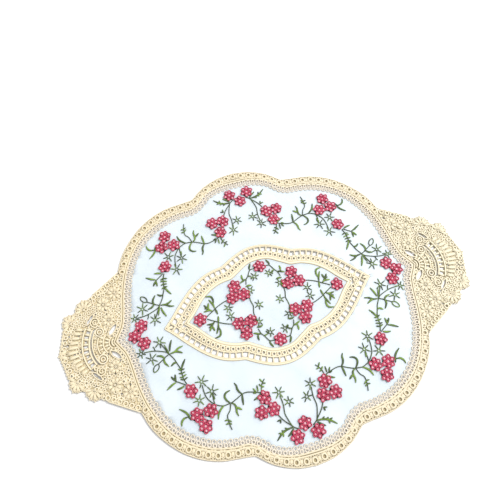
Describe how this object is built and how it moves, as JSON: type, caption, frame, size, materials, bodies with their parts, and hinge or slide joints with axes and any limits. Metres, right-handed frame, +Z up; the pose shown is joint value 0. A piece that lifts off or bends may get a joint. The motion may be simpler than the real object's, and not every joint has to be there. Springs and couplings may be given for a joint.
{
  "type": "lace doily",
  "caption": "Flat oval table doily of sheer cloth with embroidered berries and sprigs, a scalloped lace border, an almond-shaped lace insert and a lace wing at each end.",
  "frame": {"origin": "middle of the underside, on the surface that the doily lies on", "axes": "+X along the doily's length from wing to wing, +Y along its width, +Z up, out of the embroidered face"},
  "size_m": [0.418, 0.302, 0.002],
  "materials": {
    "guipure": "matt cream lace worked in thick thread",
    "sheer": "fine see-through bluish white organza",
    "berry_thread": "crimson embroidery thread with a soft shine",
    "sprig_thread": "green embroidery thread with a soft shine"
  },
  "bodies": {
    "root": {"sheer_field": "sheer", "sheer_centre": "sheer", "outer_band": "guipure", "almond_band": "guipure", "wing_left": "guipure", "wing_right": "guipure"}
  },
  "joints": []
}
